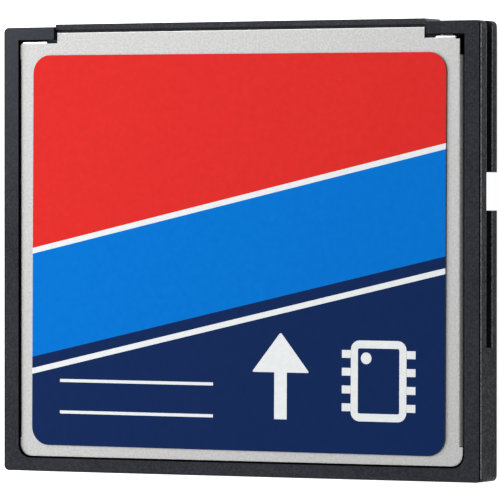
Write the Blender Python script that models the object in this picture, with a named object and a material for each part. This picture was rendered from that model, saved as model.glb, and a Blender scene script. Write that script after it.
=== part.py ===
"""Compact flash memory card, type I, lying label up.

A moulded frame carries a circuit board and a socket connector, and two folded stainless covers close it.
X runs across the card, +Y points to the connector end and +Z out of the label side. The origin is the
middle of the footprint, on the plane that the finger lip rests on.
"""

import math

import bmesh
import bpy
from mathutils import Matrix, Vector

MM = 0.001

# Card envelope
CARD_WIDTH = 42.8 * MM
CARD_LENGTH = 36.4 * MM
CARD_THICKNESS = 3.3 * MM
CORNER_RADIUS = 0.42 * MM
FRONT_EDGE_ROUND = 0.15 * MM
BACK_EDGE_ROUND = 0.22 * MM

# Finger lip under the rear edge
LIP_HEIGHT = 0.63 * MM
LIP_LENGTH = 30.0 * MM
LIP_WIDTH = 0.92 * MM
LIP_SETBACK = 0.04 * MM
LIP_END_RADIUS = 0.41 * MM
LIP_ROUND = 0.15 * MM

# Frame rails and the arms that hold the connector
SIDE_RAIL_WIDTH = 1.4 * MM
REAR_RAIL_WIDTH = 1.08 * MM
ARM_LENGTH = 4.7 * MM
ARM_WIDTH = 1.03 * MM
ARM_SETBACK = 0.2 * MM

# Guide grooves and polarising notches in the side rails
GUIDE_LENGTH = 25.85 * MM
GUIDE_DEPTH = 0.57 * MM
GUIDE_WIDTH_RIGHT = 0.99 * MM
GUIDE_WIDTH_LEFT = 1.6 * MM
NOTCH_START = 12.1 * MM
NOTCH_LENGTH = 3.0 * MM
NOTCH_DEPTH = 1.01 * MM

# Stainless covers
COVER_THICKNESS = 0.2 * MM
COVER_RECESS = 0.18 * MM
COVER_SIDE_GAP = 0.1 * MM
COVER_REAR_GAP = 0.16 * MM
COVER_CORNER_RADIUS = 0.95 * MM
RIGHT_CORNER_INSET = 0.1 * MM
COVER_TOP_STEP = 0.5 * MM
LEFT_CORNER_CHAMFER = 0.25 * MM
RIGHT_CORNER_NOTCH_LENGTH = 0.38 * MM
RIGHT_CORNER_NOTCH_DEPTH = 0.24 * MM
ARM_CLEARANCE_X = 0.23 * MM
ARM_CLEARANCE_Y = 0.17 * MM
RELIEF_WIDTH = 0.97 * MM
RELIEF_DEPTH = 0.14 * MM
BEND_RADIUS = 0.17 * MM
FLANGE_DEPTH = 0.75 * MM
FLANGE_REAR_OFFSET = 1.57 * MM
FLANGE_TOP_OFFSET = 1.5 * MM
FLANGE_SLIT = 0.04 * MM
FLANGE_ROOM = 0.15 * MM

# Ledges, shelf and ribs inside the frame
COVER_LEDGE_WIDTH = 0.52 * MM
REAR_LEDGE_WIDTH = 0.8 * MM
SHELF_WIDTH = 0.6 * MM
RIB_LENGTH = 1.6 * MM
RIB_WIDTH = 0.7 * MM
SEAT_GAP = 0.02 * MM
RUNNING_GAP = 0.08 * MM

# Printed label on the front cover
LABEL_LEFT_MARGIN = 1.2 * MM
LABEL_RIGHT_MARGIN = 1.55 * MM
LABEL_REAR_MARGIN = 0.84 * MM
LABEL_TOP_MARGIN = 1.88 * MM
LABEL_THICKNESS = 0.1 * MM
LABEL_RADIUS = 1.5 * MM

# Socket connector
PITCH = 1.27 * MM
ROW_SPACING = 1.27 * MM
FULL_COLUMNS = 25
NOSE_END_WALL = 1.0 * MM
NOSE_CORNER_CUT = 0.2 * MM
HOUSING_DEPTH = 6.2 * MM
EAR_REACH = 1.2 * MM
EAR_LENGTH = 2.05 * MM
EAR_HEIGHT = 1.25 * MM
BLOCK_TO_BOARD = 1.04 * MM
RIDGE_WIDTH = 0.45 * MM
LEAD_IN_DIAMETER = 0.95 * MM
LEAD_IN_DEPTH = 0.2 * MM
BORE_DIAMETER = 0.64 * MM
FACE_WALL = 0.5 * MM
CAVITY_WIDTH = 0.86 * MM
CAVITY_HEIGHT = 0.76 * MM

# Forked contact, stamped from strip
STRIP_THICKNESS = 0.2 * MM
CONTACT_SIDE_GAP = 0.02 * MM
FORK_TIP_GAP = 0.15 * MM
FORK_GRIP_BACK = 0.7 * MM
FORK_BASE_LENGTH = 1.15 * MM
FORK_SLOT_WIDTH = 0.44 * MM
FORK_GRIP_WIDTH = 0.38 * MM
FORK_MOUTH_WIDTH = 0.54 * MM
FORK_WIDTH = 0.74 * MM
BASE_SETBACK = 0.1 * MM
TAIL_WIDTH = 0.4 * MM
TAIL_TOE_WIDTH = 0.3 * MM
TAIL_STRAIGHT = 0.4 * MM
TAIL_JOG = 0.4 * MM
TAIL_FOOT = 1.4 * MM

# Circuit board and what is soldered to it
BOARD_THICKNESS = 0.5 * MM
BOARD_SIDE_GAP = 0.1 * MM
BOARD_CONNECTOR_GAP = 0.2 * MM
CHIP_HEADROOM = 0.14 * MM
CHIP_STANDOFF = 0.08 * MM
FLASH_LENGTH = 18.4 * MM
FLASH_WIDTH = 12.0 * MM
CONTROLLER_SIZE = 10.0 * MM
CORNER_TO_LEAD = 0.14 * MM
LEAD_PITCH = 0.5 * MM
LEAD_WIDTH = 0.22 * MM
LEAD_THICKNESS = 0.13 * MM
LEAD_REACH = 0.8 * MM
LEAD_FOOT = 0.45 * MM
CHIP_EDGE_CHAMFER = 0.12 * MM
CRYSTAL_LENGTH = 3.2 * MM
CRYSTAL_WIDTH = 2.5 * MM
CRYSTAL_LID_STEP = 0.2 * MM
CAPACITOR_LENGTH = 3.2 * MM
CAPACITOR_WIDTH = 1.6 * MM
PASSIVE_LENGTH = 1.6 * MM
PASSIVE_WIDTH = 0.8 * MM
PASSIVE_HEIGHT = 0.45 * MM
PASSIVE_PITCH = 2.2 * MM
PASSIVE_MARGIN = 0.6 * MM
PASSIVES_IN_ROW = 5

# Facets
ARC_STEPS = 5
BEND_STEPS = 3
EDGE_STEPS = 2
SOCKET_SIDES = 10
ROUND_PROFILE = 0.5
SMOOTH_ANGLE_DEG = 35
LEVEL_TOLERANCE = 0.002 * MM
OVERCUT = 0.5 * MM

# Planes worked out from the sizes above
BACK_Z = LIP_HEIGHT
FRONT_Z = LIP_HEIGHT + CARD_THICKNESS
MID_Z = LIP_HEIGHT + CARD_THICKNESS / 2
REAR_Y = -CARD_LENGTH / 2
FACE_Y = CARD_LENGTH / 2
ARM_TOP_Y = FACE_Y - ARM_SETBACK
ARM_REAR_Y = ARM_TOP_Y - ARM_WIDTH
SIDE_X = CARD_WIDTH / 2
ARM_END_X = SIDE_X - ARM_LENGTH
OPENING_X = SIDE_X - SIDE_RAIL_WIDTH
OPENING_REAR_Y = REAR_Y + REAR_RAIL_WIDTH
COVER_DEPTH = COVER_RECESS + COVER_THICKNESS
SEAT_DEPTH = COVER_DEPTH + SEAT_GAP
SEAT_HALF_HEIGHT = CARD_THICKNESS / 2 - SEAT_DEPTH
COVER_X = OPENING_X - COVER_SIDE_GAP
COVER_REAR_Y = OPENING_REAR_Y + COVER_REAR_GAP
COVER_SHOULDER_Y = ARM_REAR_Y - ARM_CLEARANCE_Y
BEND_X = COVER_X - BEND_RADIUS - COVER_THICKNESS
LEDGE_OUTER_X = BEND_X - FLANGE_ROOM
INNER_X = LEDGE_OUTER_X - COVER_LEDGE_WIDTH
INNER_REAR_Y = OPENING_REAR_Y + REAR_LEDGE_WIDTH
BOARD_X = INNER_X - BOARD_SIDE_GAP
BOARD_REAR_Y = INNER_REAR_Y + BOARD_SIDE_GAP
HOUSING_REAR_Y = FACE_Y - HOUSING_DEPTH
BOARD_FRONT_Y = HOUSING_REAR_Y - BOARD_CONNECTOR_GAP
NOSE_X = ARM_END_X - RUNNING_GAP
COLUMNS = min(FULL_COLUMNS, int(2 * (NOSE_X - NOSE_END_WALL) / PITCH) + 1)
EAR_X = INNER_X - BOARD_SIDE_GAP
BODY_X = EAR_X - EAR_REACH
TAIL_TOE_Y = HOUSING_REAR_Y + BASE_SETBACK - TAIL_STRAIGHT - TAIL_JOG - TAIL_FOOT
EAR_FRONT_Y = ARM_REAR_Y - RUNNING_GAP
EAR_REAR_Y = EAR_FRONT_Y - EAR_LENGTH
BLOCK_REAR_Y = BOARD_FRONT_Y + BLOCK_TO_BOARD
RIDGE_REAR_Y = FACE_Y - RIDGE_WIDTH
PART_HEIGHT = SEAT_HALF_HEIGHT - BOARD_THICKNESS / 2 - CHIP_HEADROOM
CHIP_Y = (BOARD_REAR_Y + TAIL_TOE_Y) / 2
RIB_Y = (BOARD_REAR_Y + BOARD_FRONT_Y) / 2


def clear_scene():
    for found in list(bpy.data.objects):
        bpy.data.objects.remove(found, do_unlink=True)


def material(name, color, roughness, metallic=0.0):
    made = bpy.data.materials.new(name)
    made.use_nodes = True
    shader = made.node_tree.nodes["Principled BSDF"]
    shader.inputs["Base Color"].default_value = (*color, 1.0)
    shader.inputs["Roughness"].default_value = roughness
    shader.inputs["Metallic"].default_value = metallic
    return made


def add_object(name, bm, surface=None):
    """Turns a bmesh into an object of the scene."""
    bmesh.ops.recalc_face_normals(bm, faces=bm.faces)
    mesh = bpy.data.meshes.new(name)
    bm.to_mesh(mesh)
    bm.free()
    if surface:
        mesh.materials.append(surface)
    made = bpy.data.objects.new(name, mesh)
    bpy.context.scene.collection.objects.link(made)
    return made


def add_modifier_tool(target, tool, operation):
    """Lets one object cut or join another, and hides the tool."""
    tool.hide_render = True
    tool.display_type = "WIRE"
    step = target.modifiers.new(tool.name, "BOOLEAN")
    step.operation = operation
    step.object = tool
    step.solver = "EXACT"


def cut(target, tool):
    add_modifier_tool(target, tool, "DIFFERENCE")


def unite(target, tool):
    add_modifier_tool(target, tool, "UNION")


def arc(center_x, center_y, radius, start_deg, end_deg, steps=ARC_STEPS):
    """Points along an arc, both ends included."""
    turn = math.radians(end_deg - start_deg) / steps
    start = math.radians(start_deg)
    return [
        (
            center_x + radius * math.cos(start + i * turn),
            center_y + radius * math.sin(start + i * turn),
        )
        for i in range(steps + 1)
    ]


def rounded_rectangle(x0, x1, y0, y1, radii):
    """Outline of a rectangle; the radii go from its rear left corner round to its front left one."""
    corners = ((x0, y0, 180), (x1, y0, 270), (x1, y1, 0), (x0, y1, 90))
    points = []
    for (x, y, start), radius in zip(corners, radii):
        if radius <= 0:
            points.append((x, y))
            continue
        center_x = x + math.copysign(radius, (x0 + x1) / 2 - x)
        center_y = y + math.copysign(radius, (y0 + y1) / 2 - y)
        points += arc(center_x, center_y, radius, start, start + 90)
    return points


def prism_bmesh(outline, z0, z1):
    bm = bmesh.new()
    base = bm.faces.new([bm.verts.new((x, y, z0)) for x, y in outline])
    raised = bmesh.ops.extrude_face_region(bm, geom=[base], use_keep_orig=True)
    top = [item for item in raised["geom"] if isinstance(item, bmesh.types.BMVert)]
    bmesh.ops.translate(bm, vec=(0, 0, z1 - z0), verts=top)
    return bm


def prism(name, outline, z0, z1, surface=None):
    return add_object(name, prism_bmesh(outline, z0, z1), surface)


def box_into(bm, low, high):
    """Adds one closed box to a bmesh."""
    low, high = Vector(low), Vector(high)
    size = Matrix.Diagonal((*(high - low), 1))
    bmesh.ops.create_cube(bm, size=1, matrix=Matrix.Translation((low + high) / 2) @ size)


def box(name, low, high, surface=None):
    bm = bmesh.new()
    box_into(bm, low, high)
    return add_object(name, bm, surface)


def boxes(name, corners):
    """One tool made of boxes that don't meet."""
    bm = bmesh.new()
    for low, high in corners:
        box_into(bm, low, high)
    return add_object(name, bm)


def mirrored_boxes(name, low, high):
    """A box on the right of the card and its mirror image on the left."""
    (x0, y0, z0), (x1, y1, z1) = low, high
    return boxes(name, [(low, high), ((-x1, y0, z0), (-x0, y1, z1))])


def bevel_level(bm, z, width):
    """Rounds the edges that lie all in one level."""
    flat = [e for e in bm.edges if all(abs(v.co.z - z) < LEVEL_TOLERANCE for v in e.verts)]
    bmesh.ops.bevel(
        bm,
        geom=flat,
        offset=width,
        offset_type="OFFSET",
        segments=EDGE_STEPS,
        profile=ROUND_PROFILE,
        affect="EDGES",
    )


def shade(target):
    target.data.shade_smooth()
    target.data.set_sharp_from_angle(angle=math.radians(SMOOTH_ANGLE_DEG))


# Frame


def frame_block(plastic):
    """The solid slab that the frame is cut from, with its outer edges rounded."""
    outline = rounded_rectangle(-SIDE_X, SIDE_X, REAR_Y, ARM_TOP_Y, [CORNER_RADIUS] * 4)
    bm = prism_bmesh(outline, BACK_Z, FRONT_Z)
    bevel_level(bm, FRONT_Z, FRONT_EDGE_ROUND)
    bevel_level(bm, BACK_Z, BACK_EDGE_ROUND)
    return add_object("frame", bm, plastic)


def cover_pocket(side):
    """Room for one cover: inside the rails, and open between the arms."""
    inner_radius = COVER_CORNER_RADIUS + COVER_SIDE_GAP
    outline = rounded_rectangle(
        -OPENING_X, OPENING_X, OPENING_REAR_Y, ARM_REAR_Y, [inner_radius, inner_radius, 0, 0]
    )
    mouth = [
        (ARM_END_X, ARM_REAR_Y),
        (ARM_END_X, FACE_Y + OVERCUT),
        (-ARM_END_X, FACE_Y + OVERCUT),
        (-ARM_END_X, ARM_REAR_Y),
    ]
    outline = outline[:-1] + mouth + outline[-1:]
    seat = MID_Z + side * SEAT_HALF_HEIGHT
    beyond = MID_Z + side * (CARD_THICKNESS / 2 + OVERCUT)
    return prism("pocket_tool", outline, min(seat, beyond), max(seat, beyond))


def flange_channels(side):
    """Slots beside the ledges that take a cover's two flanges, and run on to the arms."""
    rear, _ = flange_span()
    bottom = MID_Z + side * (CARD_THICKNESS / 2 - COVER_RECESS - FLANGE_DEPTH - FLANGE_ROOM)
    beyond = MID_Z + side * (CARD_THICKNESS / 2 - COVER_RECESS)
    return mirrored_boxes(
        "channel_tool",
        (LEDGE_OUTER_X, rear - FLANGE_ROOM, min(bottom, beyond)),
        (OPENING_X, COVER_SHOULDER_Y, max(bottom, beyond)),
    )


def board_bay():
    """The through opening for the board, narrower under it so that a shelf is left."""
    low, high = BACK_Z - OVERCUT, FRONT_Z + OVERCUT
    shelf = MID_Z - BOARD_THICKNESS / 2 - SEAT_GAP
    lower_x, lower_y = INNER_X - SHELF_WIDTH, INNER_REAR_Y + SHELF_WIDTH
    upper = box("bay_upper_tool", (-INNER_X, INNER_REAR_Y, shelf), (INNER_X, BLOCK_REAR_Y, high))
    lower = box("bay_lower_tool", (-lower_x, lower_y, low), (lower_x, BLOCK_REAR_Y, shelf + OVERCUT))
    return upper, lower


def connector_bay():
    """Rooms for the connector: its body, its ears behind the arms, and its nose between them."""
    low, high = BACK_Z - OVERCUT, FRONT_Z + OVERCUT
    body_x = BODY_X + RUNNING_GAP
    body = box("body_tool", (-body_x, BLOCK_REAR_Y - OVERCUT, low), (body_x, ARM_REAR_Y, high))
    ears = box(
        "ear_tool",
        (-INNER_X, EAR_REAR_Y - RUNNING_GAP, low),
        (INNER_X, ARM_REAR_Y, high),
    )
    nose = box("nose_tool", (-ARM_END_X, ARM_REAR_Y - OVERCUT, low), (ARM_END_X, FACE_Y + OVERCUT, high))
    return body, ears, nose


def guide_groove(name, side, width):
    x0, x1 = SIDE_X - GUIDE_DEPTH, SIDE_X + OVERCUT
    low_x, high_x = (x0, x1) if side > 0 else (-x1, -x0)
    return box(
        name,
        (low_x, FACE_Y - GUIDE_LENGTH, MID_Z - width / 2),
        (high_x, FACE_Y + OVERCUT, MID_Z + width / 2),
    )


def polarising_notches():
    """Gaps through the back wall of both guide grooves."""
    start = FACE_Y - NOTCH_START
    return mirrored_boxes(
        "notch_tool",
        (SIDE_X - NOTCH_DEPTH, start - NOTCH_LENGTH, BACK_Z - OVERCUT),
        (SIDE_X + OVERCUT, start, MID_Z),
    )


def finger_lip():
    rear, half = REAR_Y + LIP_SETBACK, LIP_LENGTH / 2
    radius = min(LIP_END_RADIUS, LIP_WIDTH / 2 - SEAT_GAP)
    outline = rounded_rectangle(-half, half, rear, rear + LIP_WIDTH, [radius] * 4)
    bm = prism_bmesh(outline, 0, BACK_Z + BACK_EDGE_ROUND + OVERCUT)
    bevel_level(bm, 0, LIP_ROUND)
    return add_object("lip_tool", bm)


def board_ribs():
    """Ribs on the side ledges that stand in the board's notches."""
    return mirrored_boxes(
        "rib_tool",
        (INNER_X - RIB_WIDTH, RIB_Y - RIB_LENGTH / 2, MID_Z - SEAT_HALF_HEIGHT),
        (INNER_X + COVER_LEDGE_WIDTH / 2, RIB_Y + RIB_LENGTH / 2, MID_Z + SEAT_HALF_HEIGHT),
    )


def make_frame(plastic):
    frame = frame_block(plastic)
    for side in (1, -1):
        cut(frame, cover_pocket(side))
        cut(frame, flange_channels(side))
    for tool in (*board_bay(), *connector_bay()):
        cut(frame, tool)
    cut(frame, guide_groove("guide_right_tool", 1, GUIDE_WIDTH_RIGHT))
    cut(frame, guide_groove("guide_left_tool", -1, GUIDE_WIDTH_LEFT))
    cut(frame, polarising_notches())
    unite(frame, board_ribs())
    unite(frame, finger_lip())
    return frame


# Covers and label


def flange_span():
    """Rear and front ends of a cover's flanges."""
    return COVER_REAR_Y + FLANGE_REAR_OFFSET, COVER_SHOULDER_Y - FLANGE_TOP_OFFSET


def left_shoulder(top):
    """Wide corner with a chamfer, beyond the left flange."""
    return [
        (BEND_X, top + FLANGE_SLIT),
        (COVER_X, top + FLANGE_SLIT),
        (COVER_X, COVER_SHOULDER_Y - LEFT_CORNER_CHAMFER),
        (COVER_X - LEFT_CORNER_CHAMFER, COVER_SHOULDER_Y),
    ]


def right_shoulder():
    """Narrow corner with a notch, beyond the right flange."""
    notch_x = BEND_X - RIGHT_CORNER_NOTCH_LENGTH
    notch_y = COVER_SHOULDER_Y - RIGHT_CORNER_NOTCH_DEPTH
    return [(BEND_X, notch_y), (notch_x, notch_y), (notch_x, COVER_SHOULDER_Y)]


def cover_half_outline(side):
    """One half of the cover's blank as if on the right, from the rear edge round to the connector end."""
    rear, top = flange_span()
    cutout_x = ARM_END_X - ARM_CLEARANCE_X
    radius = COVER_CORNER_RADIUS
    corner_x = COVER_X - RIGHT_CORNER_INSET if side > 0 else COVER_X
    points = arc(corner_x - radius, COVER_REAR_Y + radius, radius, 270, 360)
    points += [
        (corner_x, rear - FLANGE_SLIT),
        (BEND_X, rear - FLANGE_SLIT),
        (BEND_X, rear),
        (BEND_X, top),
    ]
    points += right_shoulder() if side > 0 else left_shoulder(top)
    points += [
        (cutout_x + RELIEF_WIDTH, COVER_SHOULDER_Y),
        (cutout_x + RELIEF_WIDTH, COVER_SHOULDER_Y - RELIEF_DEPTH),
        (cutout_x, COVER_SHOULDER_Y - RELIEF_DEPTH),
        (cutout_x, ARM_TOP_Y - COVER_TOP_STEP),
    ]
    return points


def fold_flange(bm, face, side):
    """Bends one edge of the sheet down round a mandrel and draws it on into a straight flange."""
    pivot = Vector((side * BEND_X, 0, -COVER_THICKNESS - BEND_RADIUS))
    step = Matrix.Rotation(side * math.radians(90) / BEND_STEPS, 4, "Y")
    straight = FLANGE_DEPTH - COVER_THICKNESS - BEND_RADIUS
    for i in range(BEND_STEPS + 1):
        face = bmesh.ops.extrude_discrete_faces(bm, faces=[face])["faces"][0]
        if i < BEND_STEPS:
            bmesh.ops.rotate(bm, cent=pivot, matrix=step, verts=face.verts)
        else:
            bmesh.ops.translate(bm, vec=(0, 0, -straight), verts=face.verts)


def cover_mesh():
    """A folded cover with its outer face at Z 0, made once and used on both sides."""
    outline = cover_half_outline(1) + [(-x, y) for x, y in reversed(cover_half_outline(-1))]
    bm = prism_bmesh(outline, -COVER_THICKNESS, 0)
    bmesh.ops.recalc_face_normals(bm, faces=bm.faces)
    rear, top = flange_span()
    for side in (1, -1):
        sheet_edge = [
            face
            for face in bm.faces
            if all(
                abs(v.co.x - side * BEND_X) < LEVEL_TOLERANCE
                and rear - LEVEL_TOLERANCE < v.co.y < top + LEVEL_TOLERANCE
                for v in face.verts
            )
        ]
        fold_flange(bm, sheet_edge[0], side)
    return bm


def make_covers(steel):
    front = add_object("front_cover", cover_mesh(), steel)
    front.location = (0, 0, FRONT_Z - COVER_RECESS)
    rear = bpy.data.objects.new("rear_cover", front.data)
    rear.location = (0, 0, BACK_Z + COVER_RECESS)
    rear.rotation_euler = (0, math.pi, 0)
    bpy.context.scene.collection.objects.link(rear)
    shade(front)
    return front, rear


def make_label(film):
    """Rounded label, stuck a little off centre on the front cover."""
    bottom = FRONT_Z - COVER_RECESS + SEAT_GAP
    outline = rounded_rectangle(
        -COVER_X + LABEL_LEFT_MARGIN,
        COVER_X - LABEL_RIGHT_MARGIN,
        COVER_REAR_Y + LABEL_REAR_MARGIN,
        ARM_TOP_Y - COVER_TOP_STEP - LABEL_TOP_MARGIN,
        [LABEL_RADIUS] * 4,
    )
    label = prism("front_label", outline, bottom, bottom + LABEL_THICKNESS, film)
    shade(label)
    return label


# Connector


def socket_centers():
    """Places of the sockets on the mating face: one row towards the label, one towards the back."""
    for row_side in (1, -1):
        for column in range(COLUMNS):
            yield (column - (COLUMNS - 1) / 2) * PITCH, MID_Z + row_side * ROW_SPACING / 2, row_side


def socket_cavities():
    front, rear = FACE_Y - FACE_WALL, HOUSING_REAR_Y - OVERCUT
    corners = [
        (
            (x - CAVITY_WIDTH / 2, rear, z - CAVITY_HEIGHT / 2),
            (x + CAVITY_WIDTH / 2, front, z + CAVITY_HEIGHT / 2),
        )
        for x, z, _ in socket_centers()
    ]
    return boxes("cavity_tool", corners)


def turned_tools(name, radius_in, radius_out, y0, y1):
    """Round tools along Y, one on each socket, that may taper."""
    bm = bmesh.new()
    along_y = Matrix.Rotation(math.radians(-90), 4, "X")
    for x, z, _ in socket_centers():
        place = Matrix.Translation((x, (y0 + y1) / 2, z)) @ along_y
        bmesh.ops.create_cone(
            bm,
            cap_ends=True,
            segments=SOCKET_SIDES,
            radius1=radius_in,
            radius2=radius_out,
            depth=y1 - y0,
            matrix=place,
        )
    return add_object(name, bm)


def nose_outline(rear_y):
    """Plan of the nose from a given depth to the mating face, with its right corner cut off."""
    return [
        (-NOSE_X, rear_y),
        (NOSE_X, rear_y),
        (NOSE_X, FACE_Y - NOSE_CORNER_CUT),
        (NOSE_X - NOSE_CORNER_CUT, FACE_Y),
        (-NOSE_X, FACE_Y),
    ]


def make_housing(resin):
    """Socket body: a nose between the arms, ridges beside the covers and ears behind the arms."""
    half = SEAT_HALF_HEIGHT
    housing = box(
        "connector_housing",
        (-BODY_X, HOUSING_REAR_Y, MID_Z - half),
        (BODY_X, EAR_FRONT_Y, MID_Z + half),
        resin,
    )
    nose = prism("nose_body_tool", nose_outline(EAR_FRONT_Y - OVERCUT), MID_Z - half, MID_Z + half)
    ridge_half = CARD_THICKNESS / 2 - COVER_RECESS
    ridge = prism("ridge_tool", nose_outline(RIDGE_REAR_Y), MID_Z - ridge_half, MID_Z + ridge_half)
    ears = box(
        "ear_body_tool",
        (-EAR_X, EAR_REAR_Y, MID_Z - EAR_HEIGHT / 2),
        (EAR_X, EAR_FRONT_Y, MID_Z + EAR_HEIGHT / 2),
    )
    for addition in (nose, ridge, ears):
        unite(housing, addition)
    cut(housing, socket_cavities())
    bore = BORE_DIAMETER / 2
    cut(housing, turned_tools("bore_tool", bore, bore, FACE_Y - FACE_WALL - SEAT_GAP, FACE_Y + OVERCUT))
    taper = (LEAD_IN_DIAMETER - BORE_DIAMETER) / 2 / LEAD_IN_DEPTH
    mouth = LEAD_IN_DIAMETER / 2 + taper * SEAT_GAP
    cut(housing, turned_tools("lead_in_tool", bore, mouth, FACE_Y - LEAD_IN_DEPTH, FACE_Y + SEAT_GAP))
    return housing


def contact_mesh():
    """One forked contact, blanked flat and bent at the tail.

    Y 0 is the mating face and Z 0 the middle of the row; the tail bends towards the board.
    """
    tip = -FACE_WALL - FORK_TIP_GAP
    grip = tip - FORK_GRIP_BACK
    base = -HOUSING_DEPTH + BASE_SETBACK
    root = base + FORK_BASE_LENGTH
    jog = base - TAIL_STRAIGHT
    foot = jog - TAIL_JOG
    toe = foot - TAIL_FOOT
    row_z = ROW_SPACING / 2
    pad_z = BOARD_THICKNESS / 2 + SEAT_GAP + STRIP_THICKNESS / 2
    drop = {jog: 0.0, foot: pad_z - row_z, toe: pad_z - row_z}
    base_half = CAVITY_WIDTH / 2 - CONTACT_SIDE_GAP
    fork_half = FORK_WIDTH / 2
    bm = bmesh.new()
    known = {}

    def point(x, y):
        if (x, y) not in known:
            known[x, y] = bm.verts.new((x, y, drop.get(y, 0.0) + STRIP_THICKNESS / 2))
        return known[x, y]

    def plate(*corners):
        bm.faces.new([point(x, y) for x, y in corners])

    tail, slot = TAIL_WIDTH / 2, FORK_SLOT_WIDTH / 2
    stations = [(toe, TAIL_TOE_WIDTH / 2), (foot, tail), (jog, tail), (base, tail)]
    for (y0, w0), (y1, w1) in zip(stations, stations[1:]):
        plate((-w0, y0), (w0, y0), (w1, y1), (-w1, y1))
    shoulder = base + BASE_SETBACK
    right = [(tail, base), (base_half, shoulder), (fork_half, root), (slot, root)]
    plate(*right, *[(-x, y) for x, y in reversed(right)])
    for side in (1, -1):
        inner = [(root, slot), (grip, FORK_GRIP_WIDTH / 2), (tip, FORK_MOUTH_WIDTH / 2)]
        for (y0, w0), (y1, w1) in zip(inner, inner[1:]):
            strip = [(w0, y0), (fork_half, y0), (fork_half, y1), (w1, y1)]
            plate(*[(side * x, y) for x, y in strip[::side]])
    raised = bmesh.ops.extrude_face_region(bm, geom=bm.faces[:], use_keep_orig=True)["geom"]
    lower = [item for item in raised if isinstance(item, bmesh.types.BMVert)]
    bmesh.ops.translate(bm, vec=(0, 0, -STRIP_THICKNESS), verts=lower)
    bmesh.ops.recalc_face_normals(bm, faces=bm.faces)
    mesh = bpy.data.meshes.new("contact")
    bm.to_mesh(mesh)
    bm.free()
    return mesh


def make_contacts(gold):
    """One contact in each socket; the back row is the front row's, turned over."""
    mesh = contact_mesh()
    mesh.materials.append(gold)
    for number, (x, z, row_side) in enumerate(socket_centers(), start=1):
        contact = bpy.data.objects.new(f"contact_{number:02d}", mesh)
        contact.location = (x, FACE_Y, z)
        contact.rotation_euler = (0, 0 if row_side > 0 else math.pi, 0)
        bpy.context.scene.collection.objects.link(contact)


# Circuit board and what it carries


def board_notches():
    wide = RUNNING_GAP + RIB_LENGTH / 2
    return mirrored_boxes(
        "board_notch_tool",
        (INNER_X - RIB_WIDTH - RUNNING_GAP, RIB_Y - wide, MID_Z - BOARD_THICKNESS),
        (BOARD_X + OVERCUT, RIB_Y + wide, MID_Z + BOARD_THICKNESS),
    )


def passive_row(name, side, y):
    """A row of small soldered resistors and capacitors, sunk a little into the board to join it."""
    half_x, half_y = PASSIVE_WIDTH / 2, PASSIVE_LENGTH / 2
    inside = MID_Z + side * (BOARD_THICKNESS / 2 - SEAT_GAP)
    outside = MID_Z + side * (BOARD_THICKNESS / 2 + PASSIVE_HEIGHT)
    corners = []
    for i in range(PASSIVES_IN_ROW):
        x = (i - (PASSIVES_IN_ROW - 1) / 2) * PASSIVE_PITCH
        corners.append(
            (
                (x - half_x, y - half_y, min(inside, outside)),
                (x + half_x, y + half_y, max(inside, outside)),
            )
        )
    return boxes(name, corners)


def make_board(laminate):
    board = box(
        "circuit_board",
        (-BOARD_X, BOARD_REAR_Y, MID_Z - BOARD_THICKNESS / 2),
        (BOARD_X, BOARD_FRONT_Y, MID_Z + BOARD_THICKNESS / 2),
        laminate,
    )
    cut(board, board_notches())
    by_tails = TAIL_TOE_Y - PASSIVE_MARGIN - PASSIVE_LENGTH / 2
    by_rear = BOARD_REAR_Y + PASSIVE_MARGIN + PASSIVE_LENGTH / 2
    unite(board, passive_row("passive_front_tool", 1, by_tails))
    unite(board, passive_row("passive_rear_tool", 1, by_rear))
    unite(board, passive_row("passive_back_tool", -1, by_tails))
    return board


def place_on_board(side, x, y, *parts):
    """Seats parts made on Z 0 on the board's label side, or turned over on its back side."""
    for part in parts:
        part.location = (x, y, MID_Z + side * (BOARD_THICKNESS / 2 + SEAT_GAP))
        part.rotation_euler = (0, 0 if side > 0 else math.pi, 0)


def chip_body(name, width, length, surface):
    """Moulded package that stands on Z 0, widest at the leads and drafted above and below them."""
    bottom, top = CHIP_STANDOFF, PART_HEIGHT
    middle = (bottom + top) / 2
    outline = rounded_rectangle(-width / 2, width / 2, -length / 2, length / 2, [0] * 4)
    bm = prism_bmesh(outline, bottom, top)
    everything = bm.verts[:] + bm.edges[:] + bm.faces[:]
    bmesh.ops.bisect_plane(bm, geom=everything, plane_co=(0, 0, middle), plane_no=(0, 0, 1))
    for vert in bm.verts:
        if abs(vert.co.z - middle) > CHIP_EDGE_CHAMFER / 2:
            vert.co.x -= math.copysign(CHIP_EDGE_CHAMFER, vert.co.x)
            vert.co.y -= math.copysign(CHIP_EDGE_CHAMFER, vert.co.y)
    return add_object(name, bm, surface), middle


def lead_into(bm, across, half_span, exit_z, turn):
    """Adds one gull-wing lead that leaves the body along +X before it is turned about Z."""
    foot_z = LEAD_THICKNESS / 2
    path = [
        (half_span - LEAD_FOOT, exit_z),
        (half_span + LEAD_REACH - LEAD_FOOT, foot_z),
        (half_span + LEAD_REACH, foot_z),
    ]
    rings = []
    for x, z in path:
        ring = [
            bm.verts.new(turn @ Vector((x, across + dy * LEAD_WIDTH / 2, z + dz * LEAD_THICKNESS / 2)))
            for dy, dz in ((-1, -1), (1, -1), (1, 1), (-1, 1))
        ]
        rings.append(ring)
    bm.faces.new(rings[0])
    bm.faces.new(rings[-1][::-1])
    for ring, following in zip(rings, rings[1:]):
        for i in range(4):
            j = (i + 1) % 4
            bm.faces.new((ring[j], ring[i], following[i], following[j]))


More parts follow.
